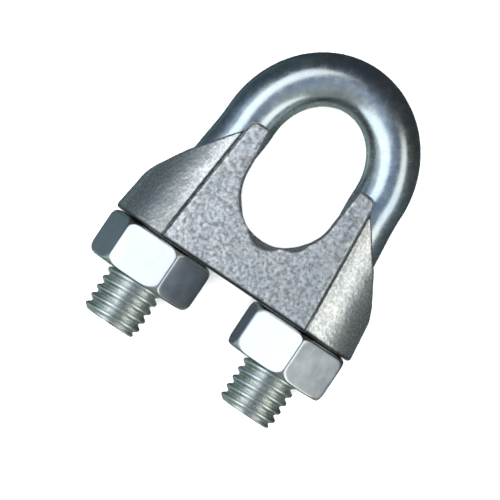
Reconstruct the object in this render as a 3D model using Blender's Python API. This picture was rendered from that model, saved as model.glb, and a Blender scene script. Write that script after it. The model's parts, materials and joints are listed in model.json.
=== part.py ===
"""Wire rope clip for 8 mm rope, with M6 threads.

A U-bolt carries a cast saddle on its two legs, and a hex nut on each leg holds the saddle up.
The clip lies on the flat back of its saddle: X runs across the legs, +Y towards the bend of
the U-bolt and +Z up out of the face that shows the U. Heights, where a name says so, are
measured along +Y from the underside of the saddle, the face that the nuts press on.
"""

import math

import bmesh
import bpy

MM = 0.001

# Threads, M6 coarse, right-handed.
PITCH = 1.0 * MM
CREST_R = 2.95 * MM
THREAD_DEPTH = 0.541 * PITCH
THREAD_CLEARANCE = 0.2 * MM
THREAD_TURNS = 12
THREAD_START = 0.1 * PITCH
TIP_R = CREST_R - THREAD_DEPTH - 0.05 * PITCH

# U-bolt, bent from plain rod, with rolled threads on both legs.
ROD_R = 2.675 * MM
LEG_X = 8.0 * MM
LEG_END_HEIGHT = -9.9 * MM
THREAD_TOP_HEIGHT = 3.5 * MM
LEG_STRAIGHT_HEIGHT = 7.0 * MM
BEND_START_HEIGHT = 14.45 * MM
BEND_HALF_WIDTH = 7.43 * MM
BEND_RISE = 8.33 * MM
LEG_STEPS = 5
BEND_STEPS = 22

# Saddle, cast in one piece: a flat-faced plate with horns, and a round boss on each leg.
SADDLE_HALF_DEPTH = 6.1 * MM
PLATE_HALF_WIDTH = 8.35 * MM
HORN_HEIGHT = 14.5 * MM
HORN_HALF_WIDTH = 7.15 * MM
HORN_CORNER = 0.45 * MM
BOSS_R = 5.75 * MM
BOSS_FOOT_BEVEL = 0.3 * MM
BOSS_DRAFT = 0.13
SHOULDER_FOOT = (15.0 * MM, 1.35 * MM)
SHOULDER_KNEE = (12.58 * MM, 5.7 * MM)
SHOULDER_LIP = (10.8 * MM, 8.55 * MM)
SHOULDER_TOP = (7.3 * MM, 13.0 * MM)
LEG_HOLE_R = 3.3 * MM
CHANNEL_R = 2.95 * MM
CHANNEL_START_HEIGHT = 6.5 * MM
CHANNEL_INNER_X = 7.0 * MM

# Rope seat between the horns, with the grooves that the rope's strands lie in.
SEAT_HALF_WIDTH = 4.75 * MM
SEAT_DEPTH = 5.2 * MM
SEAT_CENTRE_HEIGHT = 10.4 * MM
SEAT_MOUTH_HALF_WIDTH = 5.25 * MM
SEAT_STEPS = 10
GROOVE_R = 1.55 * MM
GROOVE_SINK = -0.6 * MM
GROOVE_ANGLES_DEG = (0.0, 39.0)
GROOVE_LAY_DEG = 15.0
GROOVE_SIDES = 12
GROOVE_STEPS = 10

# Hex nuts, M6, ten across the flats, both faces chamfered.
NUT_ACROSS_FLATS = 10.0 * MM
NUT_HEIGHT = 5.0 * MM
NUT_FACE_R = 4.72 * MM
NUT_CHAMFER_RISE = 1.12
NUT_COUNTERSINK_R = 3.3 * MM
NUT_COUNTERSINK_DEG = 30.0
NUT_TAP_TURNS = 7
NUT_TAP_START = 3 * PITCH
NUT_GAP = 0.3 * MM
NUT_TURN_DEG = {"nut_left": -8.9, "nut_right": -23.5}

# Where the saddle's underside and mid-plane lie, so that the clip is centred over the origin.
BEND_TOP_HEIGHT = BEND_START_HEIGHT + BEND_RISE + ROD_R
UNDERSIDE_Y = -(BEND_TOP_HEIGHT + LEG_END_HEIGHT) / 2
MIDPLANE_Z = SADDLE_HALF_DEPTH

ROUND_SIDES = 16
BOSS_SIDES = 40
REACH = 2.0 * MM
OVERLAP = 0.1 * MM


# ---------------------------------------------------------------------------------------------
# Modelling helpers. Every piece is drawn about the saddle's underside: x, height, z.
# ---------------------------------------------------------------------------------------------
def plated(name, colour, roughness, metallic):
    """A material with the colour, roughness and metallic value of one finish."""
    material = bpy.data.materials.new(name)
    material.use_nodes = True
    shader = material.node_tree.nodes["Principled BSDF"]
    shader.inputs["Base Color"].default_value = (*colour, 1.0)
    shader.inputs["Roughness"].default_value = roughness
    shader.inputs["Metallic"].default_value = metallic
    return material


def place(name, bm, origin=(0.0, 0.0, 0.0)):
    """An object from a mesh drawn about the underside, with its origin moved to a point there."""
    bmesh.ops.recalc_face_normals(bm, faces=bm.faces)
    bmesh.ops.translate(bm, verts=bm.verts, vec=[-c for c in origin])
    mesh = bpy.data.meshes.new(name)
    bm.to_mesh(mesh)
    bm.free()
    piece = bpy.data.objects.new(name, mesh)
    piece.location = (origin[0], UNDERSIDE_Y + origin[1], MIDPLANE_Z + origin[2])
    bpy.context.scene.collection.objects.link(piece)
    return piece


def shade(piece, material, sharp_deg=32.0):
    """Smooth shading, with edges kept where the faces meet at more than the given angle."""
    piece.data.materials.append(material)
    piece.data.shade_smooth()
    piece.data.set_sharp_from_angle(angle=math.radians(sharp_deg))


def combine(piece, tool, operation):
    """A Boolean of the piece with a tool, which is then only a guide."""
    step = piece.modifiers.new(tool.name, "BOOLEAN")
    step.operation = operation
    step.object = tool
    tool.hide_render = True
    tool.display_type = "WIRE"


def ring(bm, x, height, radius, sides):
    """A circle of points round an upright axis, counted from +Z towards +X."""
    angles = [2 * math.pi * i / sides for i in range(sides)]
    return [bm.verts.new((x + radius * math.sin(a), height, radius * math.cos(a))) for a in angles]


def skin(bm, rings, capped=True):
    """Faces between neighbouring rings, and over the two ends."""
    for low, high in zip(rings, rings[1:]):
        for i in range(len(low)):
            j = (i + 1) % len(low)
            bm.faces.new((low[i], low[j], high[j], high[i]))
    if capped:
        bm.faces.new(rings[0])
        bm.faces.new(rings[-1])


def turned(name, x, stations, sides):
    """A solid of revolution round an upright axis, from (height, radius) stations."""
    bm = bmesh.new()
    skin(bm, [ring(bm, x, height, radius, sides) for height, radius in stations])
    return place(name, bm)


def prism(name, outline, low_z, high_z):
    """An outline of (x, height) points, extruded along z."""
    bm = bmesh.new()
    face = bm.faces.new([bm.verts.new((x, height, low_z)) for x, height in outline])
    grown = bmesh.ops.extrude_face_region(bm, geom=[face])["geom"]
    far = [part for part in grown if isinstance(part, bmesh.types.BMVert)]
    bmesh.ops.translate(bm, verts=far, vec=(0.0, 0.0, high_z - low_z))
    return place(name, bm)


def arc(centre, radii, start_deg, stop_deg, steps):
    """Points along an elliptical arc."""
    angles = [math.radians(start_deg + (stop_deg - start_deg) * i / steps) for i in range(steps + 1)]
    return [(centre[0] + radii[0] * math.cos(a), centre[1] + radii[1] * math.sin(a)) for a in angles]


def mirrored(outline):
    """The right half of an outline, bottom to top, closed by its mirror image."""
    return outline + [(-x, height) for x, height in reversed(outline) if x > MM / 1000]


# ---------------------------------------------------------------------------------------------
# Threads. One turn holds a root flat, a flank, a crest flat and a flank. The last column of a
# turn runs into the first column of the next one, which lies a whole pitch higher.
# ---------------------------------------------------------------------------------------------
def thread(bm, x, end, start, turns, crest_r, tip_r, neck):
    """A thread from a plain tip ring at height end to a neck ring at (height, radius)."""
    root_r = crest_r - THREAD_DEPTH
    profile = ((0.0, root_r), (0.25, root_r), (0.5625, crest_r), (0.6875, crest_r))
    rows = len(profile) * turns

    def point(column, row):
        turn, part = divmod(row, len(profile))
        rise, radius = profile[part]
        height = start + PITCH * (turn + rise + column / ROUND_SIDES)
        radius = min(radius, tip_r + height - end)
        angle = 2 * math.pi * column / ROUND_SIDES
        return bm.verts.new((x + radius * math.sin(angle), height, radius * math.cos(angle)))

    columns = [[point(0, row) for row in range(rows + len(profile) + 1)]]
    columns += [[point(column, row) for row in range(rows + 1)] for column in range(1, ROUND_SIDES)]
    columns.append(columns[0][len(profile):])
    for left, right in zip(columns, columns[1:]):
        for row in range(rows):
            bm.faces.new((left[row], right[row], right[row + 1], left[row + 1]))

    tip = ring(bm, x, end, tip_r, ROUND_SIDES)
    top = ring(bm, x, neck[0], neck[1], ROUND_SIDES)
    for i in range(ROUND_SIDES):
        j = (i + 1) % ROUND_SIDES
        low = columns[i + 1][0] if j else columns[0][0]
        high = columns[i + 1][rows] if i + 1 < ROUND_SIDES else columns[0][rows + len(profile)]
        bm.faces.new((tip[i], tip[j], low, columns[i][0]))
        if j:
            bm.faces.new((columns[i][rows], high, top[j], top[i]))
    last = columns[ROUND_SIDES - 1]
    for row in range(len(profile)):
        bm.faces.new((last[0], columns[0][row], columns[0][row + 1]))
        bm.faces.new((top[0], columns[0][rows + row], columns[0][rows + row + 1]))
    bm.faces.new((last[rows], columns[0][rows + len(profile)], top[0], top[-1]))
    return tip, top


# ---------------------------------------------------------------------------------------------
# U-bolt: two threaded legs that lean in a little above the saddle, and a slightly pointed bend.
# ---------------------------------------------------------------------------------------------
def leg_lean(height):
    """How far from the middle a leg's centre line lies at a height below the bend."""
    share = (BEND_START_HEIGHT - height) / (BEND_START_HEIGHT - LEG_STRAIGHT_HEIGHT)
    share = min(max(share, 0.0), 1.0)
    return BEND_HALF_WIDTH + (LEG_X - BEND_HALF_WIDTH) * share * share * (3 - 2 * share)


def centre_line():
    """The rod's centre line from the left leg over the bend to the right leg."""
    span = BEND_START_HEIGHT - LEG_STRAIGHT_HEIGHT
    heights = [LEG_STRAIGHT_HEIGHT + span * i / LEG_STEPS for i in range(LEG_STEPS)]
    left = [(-leg_lean(height), height) for height in heights]
    bend = arc((0.0, BEND_START_HEIGHT), (BEND_HALF_WIDTH, BEND_RISE), 180.0, 0.0, BEND_STEPS)
    return left + bend + [(-x, height) for x, height in reversed(left)]


def make_u_bolt(material):
    bm = bmesh.new()
    start = LEG_END_HEIGHT + THREAD_START
    neck = (THREAD_TOP_HEIGHT, ROD_R)
    tips, necks = [], []
    for x in (-LEG_X, LEG_X):
        tip, top = thread(bm, x, LEG_END_HEIGHT, start, THREAD_TURNS, CREST_R, TIP_R, neck)
        tips.append(tip)
        necks.append(top)

    route = centre_line()
    angles = [2 * math.pi * i / ROUND_SIDES for i in range(ROUND_SIDES)]
    rings = [necks[0]]
    for i, (x, height) in enumerate(route):
        before = route[i - 1] if i else (x, THREAD_TOP_HEIGHT)
        after = route[i + 1] if i + 1 < len(route) else (x, THREAD_TOP_HEIGHT)
        run = (after[0] - before[0], after[1] - before[1])
        length = math.hypot(*run)
        inward = (run[1] / length, -run[0] / length)
        rings.append([
            bm.verts.new((
                x + ROD_R * math.sin(a) * inward[0],
                height + ROD_R * math.sin(a) * inward[1],
                ROD_R * math.cos(a),
            ))
            for a in angles
        ])
    rings.append([necks[1][-i % ROUND_SIDES] for i in range(ROUND_SIDES)])
    skin(bm, rings, capped=False)
    for tip in tips:
        bm.faces.new(tip)
    shade(place("u_bolt", bm), material)


# ---------------------------------------------------------------------------------------------
# Saddle: the plate and both bosses joined, trimmed to the sloping shoulders, then cut for the
# legs, the rope and the rope's strands.
# ---------------------------------------------------------------------------------------------
def strand_groove(name, angle_deg):
    """A round tool that winds along the seat at the rope's lay angle."""
    reach = SADDLE_HALF_DEPTH + REACH
    turn_per_depth = math.tan(math.radians(GROOVE_LAY_DEG)) / SEAT_HALF_WIDTH
    bm = bmesh.new()
    rings = []
    for i in range(GROOVE_STEPS + 1):
        z = -reach + 2 * reach * i / GROOVE_STEPS
        angle = math.radians(angle_deg) + (z - SADDLE_HALF_DEPTH) * turn_per_depth
        x = (SEAT_HALF_WIDTH + GROOVE_SINK) * math.sin(angle)
        height = SEAT_CENTRE_HEIGHT - (SEAT_DEPTH + GROOVE_SINK) * math.cos(angle)
        sides = [2 * math.pi * k / GROOVE_SIDES for k in range(GROOVE_SIDES)]
        rings.append([
            bm.verts.new((x + GROOVE_R * math.cos(a), height + GROOVE_R * math.sin(a), z))
            for a in sides
        ])
    skin(bm, rings)
    bmesh.ops.triangulate(bm, faces=bm.faces)
    return place(name, bm)


def leg_channel(name, side):
    """The slot that the leg leans in above the boss's round hole."""
    steps = ROUND_SIDES // 2 + 1
    bm = bmesh.new()
    slot = arc((LEG_X, 0.0), (CHANNEL_R, CHANNEL_R), -90.0, 90.0, steps)
    slot += arc((CHANNEL_INNER_X, 0.0), (CHANNEL_R, CHANNEL_R), 90.0, 270.0, steps)
    heights = (CHANNEL_START_HEIGHT, HORN_HEIGHT + REACH)
    skin(bm, [[bm.verts.new((side * x, height, z)) for x, z in slot] for height in heights])
    return place(name, bm)


def make_saddle(material):
    corner = (HORN_HALF_WIDTH - HORN_CORNER, HORN_HEIGHT - HORN_CORNER)
    plate = [(PLATE_HALF_WIDTH, 0.0)] + arc(corner, (HORN_CORNER, HORN_CORNER), 0.0, 90.0, 3)
    saddle = prism("saddle", mirrored(plate), -SADDLE_HALF_DEPTH, SADDLE_HALF_DEPTH)

    top_r = BOSS_R - BOSS_DRAFT * HORN_HEIGHT
    stations = ((0.0, BOSS_R - BOSS_FOOT_BEVEL), (BOSS_FOOT_BEVEL, BOSS_R), (HORN_HEIGHT, top_r))
    hole = ((-REACH, LEG_HOLE_R), (CHANNEL_START_HEIGHT + OVERLAP, LEG_HOLE_R))
    for side, end in ((-1, "left"), (1, "right")):
        combine(saddle, turned(f"boss_{end}", side * LEG_X, stations, BOSS_SIDES), "UNION")

    shoulder = [(SHOULDER_FOOT[0], -REACH), SHOULDER_FOOT, SHOULDER_KNEE, SHOULDER_LIP, SHOULDER_TOP]
    shoulder.append((SHOULDER_TOP[0], HORN_HEIGHT + REACH))
    reach_z = SADDLE_HALF_DEPTH + REACH
    combine(saddle, prism("shoulders", mirrored(shoulder), -reach_z, reach_z), "INTERSECT")

    for side, end in ((-1, "left"), (1, "right")):
        combine(saddle, turned(f"leg_hole_{end}", side * LEG_X, hole, 2 * ROUND_SIDES), "DIFFERENCE")
        combine(saddle, leg_channel(f"leg_channel_{end}", side), "DIFFERENCE")

    radii = (SEAT_HALF_WIDTH, SEAT_DEPTH)
    seat = arc((0.0, SEAT_CENTRE_HEIGHT), radii, -90.0, 0.0, SEAT_STEPS)
    seat.append((SEAT_MOUTH_HALF_WIDTH, HORN_HEIGHT + REACH))
    combine(saddle, prism("rope_seat", mirrored(seat), -reach_z, reach_z), "DIFFERENCE")
    for i, angle in enumerate(GROOVE_ANGLES_DEG):
        combine(saddle, strand_groove(f"strand_groove_{i + 1}", angle), "DIFFERENCE")
    shade(saddle, material)


# ---------------------------------------------------------------------------------------------
# Nuts: a hexagon trimmed to a chamfered disc, bored and threaded in step with its leg.
# ---------------------------------------------------------------------------------------------
def make_nut(name, x, material):
    corner_r = NUT_ACROSS_FLATS / math.sqrt(3)
    top = -NUT_GAP
    bottom = top - NUT_HEIGHT
    turn = math.radians(30.0 + NUT_TURN_DEG[name])
    bm = bmesh.new()
    corners = [turn + math.radians(60.0) * i for i in range(6)]
    skin(bm, [
        [bm.verts.new((x + corner_r * math.sin(a), height, corner_r * math.cos(a))) for a in corners]
        for height in (bottom, top)
    ])
    nut = place(name, bm, origin=(x, bottom + NUT_HEIGHT / 2, 0.0))

    outer_r = corner_r + REACH
    rise = (outer_r - NUT_FACE_R) * NUT_CHAMFER_RISE
    half = NUT_HEIGHT / 2
    middle = bottom + half
    waist_r = NUT_FACE_R + half / NUT_CHAMFER_RISE
    disc = ((bottom - rise, NUT_FACE_R / 2), (bottom, NUT_FACE_R), (middle, waist_r))
    disc += ((top, NUT_FACE_R), (top + rise, NUT_FACE_R / 2))
    combine(nut, turned(f"{name}_chamfer", x, disc, BOSS_SIDES), "INTERSECT")

    crest_r = CREST_R + THREAD_CLEARANCE
    core_r = crest_r - THREAD_DEPTH
    start = LEG_END_HEIGHT + THREAD_START + NUT_TAP_START
    neck = (top + 2 * PITCH, core_r)
    bm = bmesh.new()
    ends = thread(bm, x, start - PITCH, start, NUT_TAP_TURNS, crest_r, core_r, neck)
    for end in ends:
        bm.faces.new(end)
    combine(nut, place(f"{name}_tap", bm), "DIFFERENCE")

    slope = math.tan(math.radians(NUT_COUNTERSINK_DEG))
    for label, face, way in (("top", top, -1), ("bottom", bottom, 1)):
        radii = (crest_r + REACH, core_r / 2)
        cone = sorted((face + way * (NUT_COUNTERSINK_R - radius) * slope, radius) for radius in radii)
        combine(nut, turned(f"{name}_countersink_{label}", x, cone, ROUND_SIDES), "DIFFERENCE")
    shade(nut, material)


for leftover in list(bpy.data.objects):
    bpy.data.objects.remove(leftover, do_unlink=True)

make_u_bolt(plated("zinc_plated_rod", (0.56, 0.60, 0.63), 0.30, 1.0))
make_saddle(plated("galvanised_casting", (0.52, 0.54, 0.57), 0.55, 0.8))
nut_finish = plated("zinc_plated_nut", (0.66, 0.69, 0.71), 0.33, 1.0)
make_nut("nut_left", -LEG_X, nut_finish)
make_nut("nut_right", LEG_X, nut_finish)
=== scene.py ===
import json
import math

import bmesh
import bpy
import numpy as np
from mathutils import Matrix, Vector, noise


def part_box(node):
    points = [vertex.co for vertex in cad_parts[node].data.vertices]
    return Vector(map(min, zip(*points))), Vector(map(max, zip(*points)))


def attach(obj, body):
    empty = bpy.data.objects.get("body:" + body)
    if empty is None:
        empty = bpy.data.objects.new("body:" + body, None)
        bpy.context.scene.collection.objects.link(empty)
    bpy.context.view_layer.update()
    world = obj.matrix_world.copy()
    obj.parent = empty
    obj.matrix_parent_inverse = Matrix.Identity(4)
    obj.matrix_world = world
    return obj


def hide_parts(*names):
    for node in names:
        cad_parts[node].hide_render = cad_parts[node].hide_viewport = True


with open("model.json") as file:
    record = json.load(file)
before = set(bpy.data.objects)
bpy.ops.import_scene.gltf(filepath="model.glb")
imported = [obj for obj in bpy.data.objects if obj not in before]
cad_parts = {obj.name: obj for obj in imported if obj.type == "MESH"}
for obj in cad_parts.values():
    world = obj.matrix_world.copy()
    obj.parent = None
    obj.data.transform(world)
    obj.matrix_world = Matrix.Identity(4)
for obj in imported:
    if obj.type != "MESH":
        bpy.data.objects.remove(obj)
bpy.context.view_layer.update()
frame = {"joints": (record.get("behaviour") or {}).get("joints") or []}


# ---------------------------------------------------------------------------------------------
# U-bolt: a length of 5.35 mm steel rod with M6 threads rolled on both ends, bent cold into a U
# whose legs lean in a little above the saddle, then zinc plated. It carries everything else.
# Heights are measured along the legs from the underside of the saddle.
# ---------------------------------------------------------------------------------------------
MM = 0.001
joints = {joint["name"]: joint for joint in frame["joints"]}
leg_x, _, midplane_z = joints["nut_right_turn"]["pos_m"]
underside_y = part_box("saddle")[0].y
bolt_low, bolt_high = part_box("u_bolt")
leg_end = bolt_low.y - underside_y
bend_top = bolt_high.y - underside_y

rod_r = 2.675 * MM
leg_straight = 7.0 * MM
bend_half_width = 7.43 * MM
bend_start = bend_top - rod_r - 8.33 * MM
bolt_sides = 112
bend_steps = 150
shank_steps = 34

# Threads. Crest and root ends are shares of the half pitch, counted from the crest's middle.
pitch = 1.0 * MM
crest_r = 2.97 * MM
thread_depth = 0.43 * MM
thread_phase = 0.725
crest_end = 0.12
root_start = 0.98
thread_fade_start = 2.0 * MM
thread_top = 3.6 * MM
thread_ring_step = 0.042 * MM
tip_r = 2.60 * MM
tip_slope = 0.9
tip_rings = np.linspace(0.9, 0.15, 5)

# Plating: the sizes of its clouds, grain and tints, its colours from dull patches to bright ones,
# and the stain that darkens the thread roots.
rod_cloud = 0.9 * MM
rod_grain = 0.16 * MM
rod_tint_patch = 4.5 * MM
rod_roughness = (0.20, 0.30)
root_roughness = 0.08
rod_silver = ((0.55, 0.59, 0.62), (0.70, 0.73, 0.75))
rod_tints = [(0.35, (0.84, 0.94, 1.0)), (0.5, (0.95, 0.99, 1.0)), (0.66, (1.0, 1.0, 0.97))]
root_stain = ((0.48, 0.52, 0.48), (0.90, 0.91, 0.84))
crest_stain = 0.25


def ease(value, start, stop):
    """A smooth rise from 0 at the start to 1 at the stop, which may lie either way."""
    share = np.clip((value - start) / (stop - start), 0.0, 1.0)
    return share * share * (3.0 - 2.0 * share)


def thread_profile(height, angle):
    """How far up from root to crest the thread's surface is, 0 to 1, with its edges rolled round."""
    phase = (height - leg_end) / pitch - angle / (2 * math.pi) - thread_phase
    from_crest = np.abs(phase - np.round(phase)) * 2.0
    return ease(from_crest, root_start, crest_end)


def leg_centre(height):
    """How far from the middle a leg's centre line lies at a height below the bend."""
    return bend_half_width + (leg_x - bend_half_width) * ease(height, bend_start, leg_straight)


def bolt_route():
    """Centre line and inward direction of every ring, from one leg end to the other."""
    threaded = np.arange(leg_end, thread_top, thread_ring_step)
    plain = np.linspace(thread_top, bend_start, shank_steps)[:-1]
    heights = np.concatenate([threaded, plain])
    turn = np.linspace(math.pi, 0.0, bend_steps)
    bend_rise = bend_top - rod_r - bend_start
    x = np.concatenate([-leg_centre(heights), bend_half_width * np.cos(turn), leg_centre(heights[::-1])])
    y = np.concatenate([heights, bend_start + bend_rise * np.sin(turn), heights[::-1]])
    run_x, run_y = np.gradient(x), np.gradient(y)
    length = np.hypot(run_x, run_y)
    return x, y, run_y / length, -run_x / length


def woven_mesh(name, points, closed):
    """A mesh over rows of points that each run round a ring. Closed joins the last row to the first."""
    rows, columns, _ = points.shape
    index = np.arange(rows * columns).reshape(rows, columns)
    if closed:
        index = np.vstack([index, index[:1]])
    right = np.roll(index, -1, axis=1)
    quads = np.stack([index[:-1], right[:-1], right[1:], index[1:]], axis=-1).reshape(-1, 4)
    faces = quads.tolist()
    if not closed:
        faces += [index[0, ::-1].tolist(), index[-1].tolist()]
    mesh = bpy.data.meshes.new(name)
    mesh.from_pydata(points.reshape(-1, 3).tolist(), [], faces)
    skin = bmesh.new()
    skin.from_mesh(mesh)
    bmesh.ops.recalc_face_normals(skin, faces=skin.faces)
    skin.to_mesh(mesh)
    skin.free()
    mesh.shade_smooth()
    piece = bpy.data.objects.new(name, mesh)
    bpy.context.scene.collection.objects.link(piece)
    return piece


def paint_points(piece, name, values):
    """A number on each point of a mesh, for its material to read."""
    layer = piece.data.attributes.new(name, "FLOAT", "POINT")
    layer.data.foreach_set("value", np.asarray(values, np.float32).ravel())


def make_bolt():
    """Rings round the whole rod, threaded on both legs, with a flat chamfered end on each."""
    x, y, inward_x, inward_y = bolt_route()
    angle = np.linspace(0.0, 2 * math.pi, bolt_sides, endpoint=False)[None, :]
    side = np.where(x < 0.0, 1.0, -1.0)[:, None]
    height = y[:, None]
    profile = thread_profile(height, side * angle)
    fade = ease(height, thread_top, thread_fade_start)
    threaded = crest_r - thread_depth * (1.0 - profile)
    radius = rod_r + (threaded - rod_r) * fade
    radius = np.minimum(radius, tip_r + (height - leg_end) * tip_slope)

    def ring_points(ring_radius, i):
        out = ring_radius * np.sin(angle)
        return np.stack([
            x[i][:, None] + out * inward_x[i][:, None],
            underside_y + y[i][:, None] + out * inward_y[i][:, None],
            midplane_z + ring_radius * np.cos(angle),
        ], axis=-1)

    body = ring_points(radius, np.arange(len(x)))
    first = ring_points(tip_r * tip_rings[::-1, None], np.zeros(len(tip_rings), int))
    last = ring_points(tip_r * tip_rings[:, None], np.full(len(tip_rings), len(x) - 1))
    bolt = woven_mesh("u_bolt_rod", np.concatenate([first, body, last]), closed=False)
    depth = (crest_stain + (1.0 - crest_stain) * (1.0 - profile)) * fade
    plain = np.zeros((len(tip_rings), bolt_sides))
    paint_points(bolt, "thread_depth", np.concatenate([plain, depth, plain]))
    return bolt


def add(tree, kind, inputs=None, **settings):
    """A shader node with its settings, and with its inputs linked or set."""
    node = tree.nodes.new(kind)
    for key, value in settings.items():
        setattr(node, key, value)
    for key, value in (inputs or {}).items():
        if isinstance(value, bpy.types.NodeSocket):
            tree.links.new(value, node.inputs[key])
        else:
            node.inputs[key].default_value = value
    return node


def painted(tree, name):
    """The number that was painted on a mesh's points under a name."""
    return add(tree, "ShaderNodeAttribute", attribute_name=name).outputs["Fac"]


def blank_material(name):
    """A material with its shader, and the coordinates that its texture hangs on."""
    material = bpy.data.materials.new(name)
    material.use_nodes = True
    tree = material.node_tree
    shader = tree.nodes["Principled BSDF"]
    place = add(tree, "ShaderNodeTexCoord").outputs["Object"]
    return material, tree, shader, place


def mottle(tree, place, size, detail=4.0, rough=0.55):
    """Cloudy noise whose patches measure about the given size."""
    settings = {"Vector": place, "Scale": 1.0 / size, "Detail": detail, "Roughness": rough}
    return add(tree, "ShaderNodeTexNoise", settings).outputs["Fac"]


def ramp(tree, value, stops):
    """Colours along a value, from (place, (r, g, b)) stops."""
    node = add(tree, "ShaderNodeValToRGB", {"Fac": value})
    line = node.color_ramp
    while len(line.elements) < len(stops):
        line.elements.new(0.5)
    for element, (place, colour) in zip(line.elements, stops):
        element.position = place
        element.color = (*colour, 1.0)
    return node.outputs["Color"]


def spread(tree, value, low, high, from_low=0.3, from_high=0.7):
    """A value stretched to a range of its own."""
    settings = {"Value": value, "From Min": from_low, "From Max": from_high, "To Min": low, "To Max": high}
    return add(tree, "ShaderNodeMapRange", settings).outputs["Result"]


def mix(tree, share, first, second, blend="MIX"):
    """Two colours mixed by a share."""
    node = add(tree, "ShaderNodeMix", data_type="RGBA", blend_type=blend)
    for key, value in (("Factor", share), ("A", first), ("B", second)):
        socket = next(s for s in node.inputs if s.name == key and s.enabled)
        if isinstance(value, bpy.types.NodeSocket):
            tree.links.new(value, socket)
        else:
            socket.default_value = value
    return next(s for s in node.outputs if s.enabled)


def zinc_rod_finish():
    """Bright zinc, clouded and faintly tinted, with duller stained thread roots."""
    material, tree, shader, place = blank_material("bright_zinc_rod")
    cloud = mottle(tree, place, rod_cloud, detail=5.0)
    grain = mottle(tree, place, rod_grain, detail=2.0)
    tint = mottle(tree, place, rod_tint_patch, detail=2.0)
    silver = ramp(tree, cloud, [(0.35, rod_silver[0]), (0.68, rod_silver[1])])
    plated = mix(tree, 0.8, silver, ramp(tree, tint, rod_tints), "MULTIPLY")
    depth = painted(tree, "thread_depth")
    stain = ramp(tree, grain, [(0.38, root_stain[0]), (0.62, root_stain[1])])
    colour = mix(tree, spread(tree, depth, 0.0, 0.8, 0.0, 0.7), plated, stain)
    tree.links.new(colour, shader.inputs["Base Color"])
    shader.inputs["Metallic"].default_value = 1.0
    cut = spread(tree, depth, 0.0, root_roughness, 0.0, 0.3)
    rough = add(tree, "ShaderNodeMath", {0: spread(tree, cloud, *rod_roughness), 1: cut})
    tree.links.new(rough.outputs[0], shader.inputs["Roughness"])
    bump = add(tree, "ShaderNodeBump", {"Height": grain, "Strength": 0.25, "Distance": 0.012 * MM})
    tree.links.new(bump.outputs["Normal"], shader.inputs["Normal"])
    return material


bolt = make_bolt()
bolt.data.materials.append(zinc_rod_finish())
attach(bolt, "u_bolt")
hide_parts("u_bolt")


# ---------------------------------------------------------------------------------------------
# Saddle: one malleable iron casting, galvanised. A flat-faced plate with a pair of horns at the
# front and at the back, a blunt-nosed boss on each leg, and a grooved seat that the rope lies in.
# It slides on the legs of the U-bolt and stands on the two nuts.
# ---------------------------------------------------------------------------------------------

# Its sizes are in millimetres, about the middle of its underside. Tools that cut it overrun it.
_, saddle_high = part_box("saddle")
half_depth = saddle_high.z / MM - midplane_z / MM
horn_height = (saddle_high.y - underside_y) / MM
overrun = 2.0
on_middle_line = 0.001

# Plate and horns. The crown is how much lower the face is at the plate's side edges.
plate_half_width = 8.38
horn_half_width = 7.25
horn_corner = 0.7
corner_steps = 8
plate_crown = 0.22
plate_bevel = 0.22
bevel_depth = 0.32

# Bosses. The foot is (height, inset) from the underside up, and the inner side is hidden by the plate.
boss_nose_x = saddle_high.x / MM
boss_centre_x = 5.5
boss_half_depth = 6.2
boss_inner_x = (7.4, 6.2)
boss_draft = 0.13
boss_foot = ((0.0, 0.3), (0.1, 0.08), (0.3, 0.0))
boss_steps = 81
shoulder = [(15.0, -overrun), (15.0, 0.6), (13.42, 3.6), (13.1, 4.65), (12.66, 5.6), (12.1, 6.5)]
shoulder += [(10.88, 8.55), (9.4, 10.45), (8.2, 12.1), (7.3, 13.2), (7.2, 13.9), (6.7, 14.55)]
shoulder.append((6.6, 17.0))

# Leg holes, round at the bottom and slots above, where the legs lean in.
hole_x = leg_x / MM
hole_r = 3.2
hole_overlap = 0.1
channel_r = 3.08
channel_start = 6.5
channel_inner_x = 7.0
channel_steps = 31

# Rope seat, and its grooves as (angle, radius, sink below the seat).
seat_half_width = 4.75
seat_depth = 5.2
seat_centre = 10.4
seat_mouth = 5.25
seat_flare = 0.3
seat_steps = 40
grooves = ((2.0, 2.1, -1.3), (41.0, 1.8, -1.3))
groove_lay = 19.0
groove_steps = 25
groove_sides = 28

# Cast skin: heights and waves per millimetre of its swell, pebbles and grit. The plate's faces are
# the bands at the front and back, and the foot stays true.
casting_voxel = 0.11
soften_steps = 6
face_band = 0.3
face_slope = 0.9
painted_band = 0.2
true_foot = 0.12
swell_height = 0.025
swell_rate = 0.55
pebble_height = 0.022
pebble_rate = 2.1
pebble_shift = Vector((7.0, 0.0, 0.0))
grit_height = 0.016
grit_rate = 4.4
grit_shift = Vector((0.0, 11.0, 0.0))
plate_roughness = 1.25
boss_roughness = 0.35

# Painted shade and one darker patch: heights of the dark line of painted shade at the foot, the painted
# shade in the creases beside the plate, and one darker patch low on the left boss.
foot_shade_heights = (0.005, 0.035, 0.22, 0.47)
crease_shade_half_width = 0.31
crease_shade_share = 0.78
crease_shade_below_face = 0.1
dark_patch_x = -8.7
dark_patch_reach = 1.6
dark_patch_share = 0.5
dark_patch_heights = (1.0, 7.5)

# Walls of the seat, less metallic and darkened as painted shade: how far they reach past the seat, down
# the grooves, and below horn and face.
seat_wall_past_mouth = 0.45
seat_wall_down_grooves = 1.3
seat_wall_below_horn = 0.3
seat_wall_below_face = 0.05
wall_slope = 0.6
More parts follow.
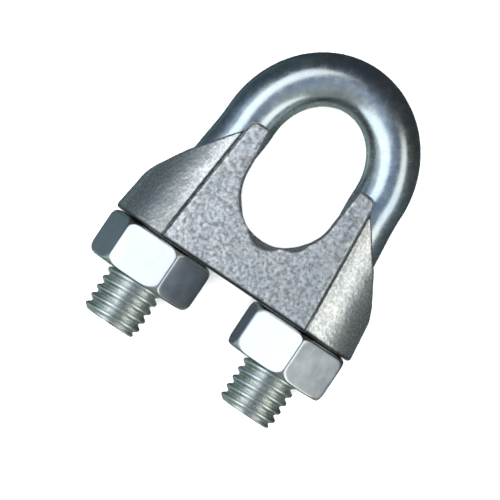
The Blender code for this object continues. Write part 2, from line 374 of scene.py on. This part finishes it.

# Zinc: the sizes of its patches, grains and specks, its finish, and its colours from dark grains to bright
# ones, then the painted shade on the seat walls and the painted shade and dark patch at the foot, in the
# creases and on the left boss. The seat walls are less metallic than the rest, and the faces are the
# dullest.
zinc_patch = 2.4 * MM
zinc_grain = 0.36 * MM
zinc_speck = 0.13 * MM
zinc_metallic = 0.98
seat_wall_metallic = 0.74
zinc_roughness = (0.32, 0.22)
face_roughness = 0.2
face_pebbles = [(0.36, (0.34, 0.345, 0.355)), (0.5, (0.63, 0.635, 0.645)), (0.64, (0.89, 0.895, 0.90))]
boss_specks = [(0.36, (0.43, 0.44, 0.435)), (0.64, (0.90, 0.905, 0.89))]
boss_smears = [(0.37, (0.45, 0.47, 0.465)), (0.61, (0.91, 0.91, 0.895))]
zinc_tones = [(0.3, (0.87, 0.90, 0.94)), (0.5, (1.0, 1.0, 1.0)), (0.7, (1.0, 0.98, 0.93))]
# Painted shade on the seat walls, then the painted shade and dark patch at the foot, in the creases and on
# the left boss.
seat_wall_shade = (0.62, 0.66, 0.68, 1.0)
shade_and_patch_colour = (0.06, 0.065, 0.065, 1.0)


def loft(name, rings):
    """A closed solid skinned over rings of points, in millimetres about the saddle's underside."""
    shape = bmesh.new()
    made = [[shape.verts.new(point) for point in ring] for ring in rings]
    for low, high in zip(made, made[1:]):
        for i in range(len(low)):
            j = (i + 1) % len(low)
            shape.faces.new((low[i], low[j], high[j], high[i]))
    shape.faces.new(made[0])
    shape.faces.new(made[-1])
    bmesh.ops.triangulate(shape, faces=shape.faces)
    bmesh.ops.recalc_face_normals(shape, faces=shape.faces)
    mesh = bpy.data.meshes.new(name)
    shape.to_mesh(mesh)
    shape.free()
    solid = bpy.data.objects.new(name, mesh)
    bpy.context.scene.collection.objects.link(solid)
    return solid


def upright(name, x, stations, sides=96):
    """A turned solid round an upright axis, from (height, radius) stations."""
    angles = [2 * math.pi * i / sides for i in range(sides)]
    return loft(name, [
        [(x + r * math.sin(a), height, r * math.cos(a)) for a in angles] for height, r in stations
    ])


def slab(name, stations):
    """A solid along the rope, from (z, right half of the outline) stations, each one mirrored."""
    rings = []
    for z, outline in stations:
        whole = outline + [(-x, height) for x, height in reversed(outline) if x > on_middle_line]
        rings.append([(x, height, z) for x, height in whole])
    return loft(name, rings)


def round_arc(centre, radii, start, stop, steps):
    """Points along an elliptical arc, angles in degrees."""
    angles = [math.radians(start + (stop - start) * i / steps) for i in range(steps + 1)]
    return [(centre[0] + radii[0] * math.cos(a), centre[1] + radii[1] * math.sin(a)) for a in angles]


def boss(side):
    """A boss with an elliptical nose, which leans in all round with height."""
    rings = []
    for height, inset in (*boss_foot, (horn_height, boss_draft * horn_height)):
        reach = boss_nose_x - boss_centre_x - inset
        depth = boss_half_depth - inset
        inner = boss_inner_x[0] + (boss_inner_x[1] - boss_inner_x[0]) * height / horn_height
        start = math.acos((inner - boss_centre_x) / reach)
        turns = np.linspace(-start, start, boss_steps)
        outline = [(boss_centre_x + reach * math.cos(t), depth * math.sin(t)) for t in turns]
        rings.append([(side * x, height, z) for x, z in outline])
    return loft("boss", rings)


def leg_channel(side):
    """The slot in which a leg leans inwards above the round hole of its boss."""
    slot = round_arc((hole_x, 0.0), (channel_r, channel_r), -90.0, 90.0, channel_steps)
    slot += round_arc((channel_inner_x, 0.0), (channel_r, channel_r), 90.0, 270.0, channel_steps)
    heights = (channel_start, horn_height + overrun)
    return loft("channel", [[(side * x, height, z) for x, z in slot] for height in heights])


def plate_outline(inset):
    """Half of the plate with its horn, smaller all round by an inset."""
    corner = (horn_half_width - horn_corner - inset, horn_height - horn_corner - inset)
    foot = (plate_half_width - inset, inset)
    return [(0.0, inset), foot] + round_arc(corner, (horn_corner, horn_corner), 0.0, 90.0, corner_steps)


def seat_outline(flare):
    """Half of the rope seat, wider by a flare."""
    radii = (seat_half_width + flare, seat_depth + flare / 2)
    seat = round_arc((0.0, seat_centre), radii, -90.0, 0.0, seat_steps)
    return seat + [(seat_mouth + flare, horn_height + overrun)]


def strand_groove(angle, groove_r, sink):
    """A round groove that winds along the seat at the rope's lay angle."""
    rings = []
    reach = half_depth + overrun
    turn_per_depth = math.tan(math.radians(groove_lay)) / seat_half_width
    for z in np.linspace(-reach, reach, groove_steps):
        at = math.radians(angle) + (z - half_depth) * turn_per_depth
        x = (seat_half_width + sink) * math.sin(at)
        height = seat_centre - (seat_depth + sink) * math.cos(at)
        turns = [2 * math.pi * k / groove_sides for k in range(groove_sides)]
        rings.append([(x + groove_r * math.cos(a), height + groove_r * math.sin(a), z) for a in turns])
    return loft("groove", rings)


def cast_blank():
    """The casting's shape before its edges are rounded: solids joined and cut, all in millimetres."""
    faces = ((-half_depth, plate_bevel), (bevel_depth - half_depth, 0.0))
    faces += ((half_depth - bevel_depth, 0.0), (half_depth, plate_bevel))
    blank = slab("casting", [(z, plate_outline(inset)) for z, inset in faces])
    reach = half_depth + overrun
    flare = seat_flare * reach / half_depth
    seat = [(-reach, seat_outline(flare)), (0.0, seat_outline(0.0)), (reach, seat_outline(flare))]
    steps = [(boss(side), "UNION") for side in (-1, 1)]
    steps.append((slab("shoulders", [(-reach, shoulder), (reach, shoulder)]), "INTERSECT"))
    for side in (-1, 1):
        hole = ((-overrun, hole_r), (channel_start + hole_overlap, hole_r))
        steps.append((upright("hole", side * hole_x, hole), "DIFFERENCE"))
        steps.append((leg_channel(side), "DIFFERENCE"))
    steps.append((slab("seat", seat), "DIFFERENCE"))
    steps += [(strand_groove(*groove), "DIFFERENCE") for groove in grooves]
    for tool, operation in steps:
        cut = blank.modifiers.new(tool.name, "BOOLEAN")
        cut.operation = operation
        cut.object = tool
    return blank, [tool for tool, _ in steps]


def cast_skin(place, normal):
    """How far the rough cast skin stands off its true surface, in millimetres."""
    on_plate = abs(normal.z) > face_slope and abs(place.z) > half_depth - face_band
    swell = swell_height * noise.noise(place * swell_rate)
    pebble = pebble_height * noise.noise(place * pebble_rate + pebble_shift)
    grit = grit_height * noise.noise(place * grit_rate + grit_shift)
    return swell + (pebble + grit) * (plate_roughness if on_plate else boss_roughness)


def painted_shade_and_dark_patch(place):
    """Painted shade along the foot of the casting and in the creases beside the plate, and a darker patch
    low on the left boss, 0 to 1."""
    low, full, still_full, high = foot_shade_heights
    # Painted shade along the foot and in the creases beside the plate; a darker patch low on the left
    # boss.
    at_foot = ease(place.y, low, full) * ease(place.y, high, still_full)
    plate_edge = plate_half_width + (horn_half_width - plate_half_width) * place.y / horn_height
    in_crease = crease_shade_share * ease(abs(abs(place.x) - plate_edge), crease_shade_half_width, 0.0)
    in_patch = dark_patch_share * ease(abs(place.x - dark_patch_x), dark_patch_reach, 0.0)
    in_patch *= ease(place.y, dark_patch_heights[1], dark_patch_heights[0])
    below_face = abs(place.z) < half_depth - crease_shade_below_face
    return max(at_foot, in_crease, in_patch) if below_face else at_foot


def seat_wall_shade_mask(place, normal):
    """Whether a point is on the wall of the rope seat or its grooves, where the zinc is less metallic and
    darkened as painted shade.
    """
    lowest = seat_centre - seat_depth - seat_wall_down_grooves
    between_horns = abs(place.x) < seat_mouth + seat_wall_past_mouth
    between_heights = lowest < place.y < horn_height - seat_wall_below_horn
    on_wall = abs(place.z) < half_depth - seat_wall_below_face and abs(normal.z) < wall_slope
    return float(between_horns and between_heights and on_wall)


def make_saddle():
    """The casting with its edges rounded, its faces crowned and its skin roughened."""
    blank, tools = cast_blank()
    rounded = blank.modifiers.new("rounded", "REMESH")
    rounded.mode = "VOXEL"
    rounded.voxel_size = casting_voxel
    soften = blank.modifiers.new("soften", "SMOOTH")
    soften.factor = 0.5
    soften.iterations = soften_steps
    graph = bpy.context.evaluated_depsgraph_get()
    mesh = bpy.data.meshes.new_from_object(blank.evaluated_get(graph))
    for spent in [blank, *tools]:
        bpy.data.objects.remove(spent)
    normals = np.zeros(len(mesh.vertices) * 3, np.float32)
    mesh.vertex_normals.foreach_get("vector", normals)
    on_plate, shade_and_patch_values, seat_shade_values = [], [], []
    for vertex, normal in zip(mesh.vertices, normals.reshape(-1, 3)):
        direction = Vector(normal)
        on_plate.append(float(abs(vertex.co.z) > half_depth - painted_band))
        # Painted shade along the foot and in the creases, a darker patch on the left boss, and painted
        # shade on the seat walls.
        shade_and_patch_values.append(painted_shade_and_dark_patch(vertex.co))
        seat_shade_values.append(seat_wall_shade_mask(vertex.co, direction))
        if abs(vertex.co.z) > half_depth - face_band:
            vertex.co.z *= 1.0 - plate_crown * (vertex.co.x / plate_half_width) ** 2 / half_depth
        if vertex.co.y > true_foot:
            vertex.co += direction * cast_skin(vertex.co, direction)
    mesh.transform(Matrix.Translation((0.0, underside_y, midplane_z)) @ Matrix.Scale(MM, 4))
    mesh.shade_smooth()
    saddle = bpy.data.objects.new("saddle_casting", mesh)
    bpy.context.scene.collection.objects.link(saddle)
    paint_points(saddle, "plate_face", on_plate)
    paint_points(saddle, "painted_shade_and_dark_patch", shade_and_patch_values)
    paint_points(saddle, "seat_wall", seat_shade_values)
    return saddle


def galvanised_finish():
    """A grainy pebbled zinc skin on the flat faces, and a smoother, brighter one on the bosses."""
    material, tree, shader, place = blank_material("galvanised_casting")
    on_plate = painted(tree, "plate_face")
    patch = mottle(tree, place, zinc_patch, detail=3.0)
    grain = mottle(tree, place, zinc_grain, detail=5.0, rough=0.6)
    speck = mottle(tree, place, zinc_speck, detail=3.0)
    smooth = mix(tree, 0.5, ramp(tree, speck, boss_specks), ramp(tree, grain, boss_smears))
    skin = mix(tree, on_plate, smooth, ramp(tree, grain, face_pebbles))
    toned = mix(tree, 0.8, skin, ramp(tree, patch, zinc_tones), "MULTIPLY")
    # Painted shade darkens the seat walls, which are also less metallic.
    on_seat = painted(tree, "seat_wall")
    shaded_seat = mix(tree, 1.0, toned, seat_wall_shade, "MULTIPLY")
    # Painted shade along the foot and in the creases beside the plate, and one darker patch on the left
    # boss, mixed into the colour.
    colour = mix(tree, painted(tree, "painted_shade_and_dark_patch"), mix(tree, on_seat, toned, shaded_seat), shade_and_patch_colour)
    tree.links.new(colour, shader.inputs["Base Color"])
    metallic = spread(tree, on_seat, zinc_metallic, seat_wall_metallic, 0.0, 1.0)
    tree.links.new(metallic, shader.inputs["Metallic"])
    matt = spread(tree, on_plate, 0.0, face_roughness, 0.0, 1.0)
    rough = add(tree, "ShaderNodeMath", {0: spread(tree, grain, *zinc_roughness), 1: matt})
    tree.links.new(rough.outputs[0], shader.inputs["Roughness"])
    fine = add(tree, "ShaderNodeBump", {"Height": speck, "Strength": 0.22, "Distance": 0.02 * MM})
    settings = {"Height": grain, "Distance": 0.07 * MM, "Normal": fine.outputs["Normal"]}
    settings["Strength"] = spread(tree, on_plate, 0.26, 0.7, 0.0, 1.0)
    coarse = add(tree, "ShaderNodeBump", settings)
    tree.links.new(coarse.outputs["Normal"], shader.inputs["Normal"])
    return material


saddle = make_saddle()
saddle.data.materials.append(galvanised_finish())
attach(saddle, "saddle")
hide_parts("saddle")


# ---------------------------------------------------------------------------------------------
# Nuts: two M6 hex nuts, about ten across the flats, cold formed and zinc plated. Both faces are
# chamfered, the bore is countersunk and threaded in step with its leg. They hold the saddle up.
# ---------------------------------------------------------------------------------------------
across_flats = 10.15 * MM
nut_height = 5.0 * MM
nut_top = -0.008 * MM
nut_turns = {"nut_left": -7.8, "nut_right": -22.3}
edge_round = 0.05 * MM

# Domed chamfer, from its radius on the face to its radius where the corners are full.
corner_face_r = 4.95 * MM
corner_full_r = 5.95 * MM
corner_drop = 1.5 * MM
rim_round_low = 0.2 * MM
rim_round_high = 0.45 * MM

countersink_r = 3.25 * MM
countersink_slope = math.tan(math.radians(60.0))
thread_play = 0.06 * MM

nut_sides = 360
chamfer_rows = 26
chamfer_share = 0.55
flank_rows = 14
bore_rows = 130
face_rings = np.linspace(0.06, 0.94, 10)[:, None]
sharp_edge = math.radians(40.0)

nut_cloud = 1.6 * MM
nut_mark = 0.14 * MM
mark_stretch = (1.0, 0.12, 1.0)
nut_roughness = (0.18, 0.26)
nut_silver = ((0.60, 0.615, 0.635), (0.69, 0.70, 0.72))
# Painted shade in a dark line round each rim, and its width as a share of the rim's rounding.
rim_shade_colour = (0.09, 0.10, 0.10, 1.0)
rim_shade_width = 0.9


def soft_least(values):
    """The least of some radii, with the corner between them rounded."""
    low = np.minimum.reduce(values)
    total = sum(np.exp((low - value) / edge_round) for value in values)
    return low - edge_round * np.log(total)


def make_nut(body, x):
    """One nut, skinned up its outside, in over the top, down the thread and out below."""
    half = nut_height / 2
    middle = nut_top - half
    angle = np.linspace(0.0, 2 * math.pi, nut_sides, endpoint=False)[None, :]
    turn = math.radians(nut_turns[body])
    off_flat = (angle - turn + math.pi / 6) % (math.pi / 3) - math.pi / 6
    flat = across_flats / 2 / np.cos(off_flat)
    next_flat = across_flats / 2 / np.cos(math.pi / 3 - np.abs(off_flat))
    ends = half * (1.0 - np.linspace(0.0, 1.0, chamfer_rows) ** 2 * chamfer_share)
    flank = np.linspace(-ends[-1], ends[-1], flank_rows)[1:-1]
    up = np.concatenate([-ends, flank, ends[::-1]])[:, None]
    from_face = half - np.abs(up)
    rise = np.sqrt(1.0 - np.clip(1.0 - from_face / corner_drop, 0.0, 1.0) ** 2)
    chamfer = corner_face_r + (corner_full_r - corner_face_r) * rise
    rim_round = np.where(up > 0.0, rim_round_high, rim_round_low)
    rim = rim_round - np.sqrt(rim_round ** 2 - np.clip(rim_round - from_face, 0.0, rim_round) ** 2)
    outer = soft_least([flat + 0 * up, next_flat + 0 * up, chamfer + 0 * angle]) - rim
    down = np.linspace(half, -half, bore_rows)[:, None]
    profile = thread_profile(middle + down, angle)
    bore = crest_r + thread_play - thread_depth * (1.0 - profile)
    bore = np.maximum(bore, countersink_r - (half - np.abs(down)) * countersink_slope)
    top_face = outer[-1:] + (bore[:1] - outer[-1:]) * face_rings
    low_face = bore[-1:] + (outer[:1] - bore[-1:]) * face_rings
    radius = np.concatenate([outer, top_face, bore, low_face])
    level = np.full_like(face_rings, half)
    height = np.concatenate([up, level, down, -level]) + 0 * angle
    points = np.stack([
        x + radius * np.sin(angle),
        underside_y + middle + height,
        midplane_z + radius * np.cos(angle),
    ], axis=-1)
    nut = woven_mesh(f"{body}_hex", points, closed=True)
    # Painted shade in a dark band round the top and bottom rims.
    shade_and_patch_values = np.zeros_like(radius)
    shade_and_patch_values[:len(up)] = ease(from_face, rim_shade_width * rim_round, 0.0)
    paint_points(nut, "painted_shade_and_dark_patch", shade_and_patch_values)
    nut.data.set_sharp_from_angle(angle=sharp_edge)
    return nut


def zinc_nut_finish():
    """Bright zinc with upright drawing marks and a line of painted shade round each rim."""
    material, tree, shader, place = blank_material("bright_zinc_nut")
    cloud = mottle(tree, place, nut_cloud)
    stretched = add(tree, "ShaderNodeMapping", {"Vector": place, "Scale": mark_stretch})
    marks = mottle(tree, stretched.outputs["Vector"], nut_mark, detail=3.0)
    silver = ramp(tree, cloud, [(0.35, nut_silver[0]), (0.68, nut_silver[1])])
    rim_shade_share = spread(tree, painted(tree, "painted_shade_and_dark_patch"), 0.0, 0.85, 0.0, 1.0)
    tree.links.new(mix(tree, rim_shade_share, silver, rim_shade_colour), shader.inputs["Base Color"])
    shader.inputs["Metallic"].default_value = 1.0
    tree.links.new(spread(tree, cloud, *nut_roughness), shader.inputs["Roughness"])
    bump = add(tree, "ShaderNodeBump", {"Height": marks, "Strength": 0.3, "Distance": 0.01 * MM})
    tree.links.new(bump.outputs["Normal"], shader.inputs["Normal"])
    return material


nut_finish = zinc_nut_finish()
for body, x in (("nut_left", -leg_x), ("nut_right", leg_x)):
    nut = make_nut(body, x)
    nut.data.materials.append(nut_finish)
    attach(nut, body)
    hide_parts(body)


# ---------------------------------------------------------------------------------------------
# Studio: the clip lies on its back on a wide sheet of pale paper. A large soft light on the left
# and a narrow one on the right draw long streaks along the plating, a dim wing fills the far left,
# and a light from straight above whitens the paper and is not mirrored in the metal.
# ---------------------------------------------------------------------------------------------
floor_half = 0.6
floor_z = -0.06 * MM
floor_cuts = 8
camera_distance = 0.5
camera_roll = 33.9
view_centre = Vector((-0.43 * MM, -4.05 * MM, midplane_z))
view_width = 49.0 * MM
sensor_width = 36.0


def pale_floor():
    """A square of matt paper just under the clip."""
    shape = bmesh.new()
    corners = [(-floor_half, -floor_half), (floor_half, -floor_half), (floor_half, floor_half)]
    corners.append((-floor_half, floor_half))
    shape.faces.new([shape.verts.new((x, y, floor_z)) for x, y in corners])
    bmesh.ops.subdivide_edges(shape, edges=shape.edges, cuts=floor_cuts, use_grid_fill=True)
    mesh = bpy.data.meshes.new("floor")
    shape.to_mesh(mesh)
    shape.free()
    ground = bpy.data.objects.new("floor", mesh)
    bpy.context.scene.collection.objects.link(ground)
    material, tree, shader, place = blank_material("pale_paper")
    fibre = mottle(tree, place, 1.5 * MM)
    paper = ramp(tree, fibre, [(0.3, (0.90, 0.90, 0.90)), (0.7, (0.94, 0.94, 0.94))])
    tree.links.new(paper, shader.inputs["Base Color"])
    shader.inputs["Roughness"].default_value = 0.9
    shader.inputs["Specular IOR Level"].default_value = 0.1
    ground.data.materials.append(material)
    return ground


def soft_light(name, lean, half_spread, distance, brightness, colour=(1.0, 1.0, 1.0), roll=0.0):
    """A rectangular light over the clip. Its lean and spread are degrees towards +X and towards +Y."""
    away = math.radians(math.hypot(*lean))
    sideways = Vector((lean[0], lean[1], 0.0)).normalized()
    toward = sideways * math.sin(away) + Vector((0.0, 0.0, math.cos(away)))
    across = (Vector((1.0, 0.0, 0.0)) - toward * toward.x).normalized()
    light = bpy.data.lights.new(name, "AREA")
    light.shape = "RECTANGLE"
    light.size, light.size_y = [2 * distance * math.tan(math.radians(half)) for half in half_spread]
    light.energy = brightness * math.pi * light.size * light.size_y
    light.color = colour
    lamp = bpy.data.objects.new(name, light)
    facing = Matrix((across, toward.cross(across), toward)).transposed()
    lamp.rotation_euler = (facing @ Matrix.Rotation(math.radians(roll), 3, "Z")).to_euler()
    lamp.location = Vector((0.0, 0.0, midplane_z)) + toward * distance
    bpy.context.scene.collection.objects.link(lamp)
    return lamp


def dim_room():
    """Surroundings that are dark behind the bend, lighter in front of the leg ends, cooler on the
    left and lighter near the horizon on either side."""
    world = bpy.data.worlds.new("dim_room")
    world.use_nodes = True
    tree = world.node_tree
    direction = add(tree, "ShaderNodeTexCoord").outputs["Generated"]
    parts = add(tree, "ShaderNodeSeparateXYZ", {"Vector": direction}).outputs
    along = spread(tree, parts["Y"], 0.0, 1.0, -1.0, 1.0)
    across = spread(tree, parts["X"], 0.0, 1.0, -1.0, 1.0)
    above = [(0.0, (0.25, 0.27, 0.27)), (0.25, (0.34, 0.39, 0.41)), (0.44, (0.31, 0.37, 0.46))]
    above += [(0.5, (0.26, 0.33, 0.43)), (0.62, (0.13, 0.16, 0.20)), (0.8, (0.075, 0.085, 0.095))]
    above.append((1.0, (0.045, 0.053, 0.06)))
    under = [(0.0, (0.26, 0.30, 0.28)), (0.35, (0.30, 0.34, 0.32)), (0.5, (0.08, 0.10, 0.12))]
    under.append((0.75, (0.045, 0.053, 0.06)))
    tints = [(0.0, (0.88, 1.0, 1.06)), (0.5, (0.97, 1.0, 1.05)), (0.92, (1.08, 1.06, 0.92))]
    tints.append((1.0, (1.6, 1.55, 1.4)))
    low_left = [(0.05, (1.0, 1.05, 1.0)), (0.14, (1.8, 1.95, 1.75)), (0.26, (0.9, 0.9, 0.9))]
    low = mix(tree, 1.0, ramp(tree, along, under), ramp(tree, across, low_left), "MULTIPLY")
    is_above = spread(tree, parts["Z"], 0.0, 1.0, -0.1, 0.75)
    sky = mix(tree, is_above, low, ramp(tree, along, above))
    sky = mix(tree, 1.0, sky, ramp(tree, across, tints), "MULTIPLY")
    tree.links.new(sky, tree.nodes["Background"].inputs["Color"])
    bpy.context.scene.world = world


floor = pale_floor()
floor.visible_glossy = False
dim_room()
soft_light("left_softbox", lean=(-30.0, -17.0), half_spread=(18.0, 51.0), distance=0.2, brightness=1.4,
           colour=(0.97, 0.99, 1.0))
soft_light("left_wing", lean=(-61.0, -21.0), half_spread=(14.0, 38.0), distance=0.25, brightness=0.31,
           colour=(0.97, 1.0, 1.0))
soft_light("right_strip", lean=(59.5, -8.0), half_spread=(13.7, 44.0), distance=0.25, brightness=1.3,
           colour=(1.0, 1.0, 0.95), roll=20.0)
floor_light = soft_light("floor_light", lean=(0.01, 0.0), half_spread=(15.5, 15.5), distance=0.9,
                         brightness=22.0)
floor_light.visible_glossy = False

camera_data = bpy.data.cameras.new("camera")
camera_data.sensor_width = sensor_width
camera_data.lens = sensor_width * camera_distance / view_width
camera_data.clip_start = 0.01
camera_data.clip_end = 10.0
camera = bpy.data.objects.new("camera", camera_data)
camera.location = view_centre + Vector((0.0, 0.0, camera_distance))
camera.rotation_euler = (0.0, 0.0, math.radians(camera_roll))
bpy.context.scene.collection.objects.link(camera)
bpy.context.scene.camera = camera
bpy.context.scene.view_settings.view_transform = "Standard"
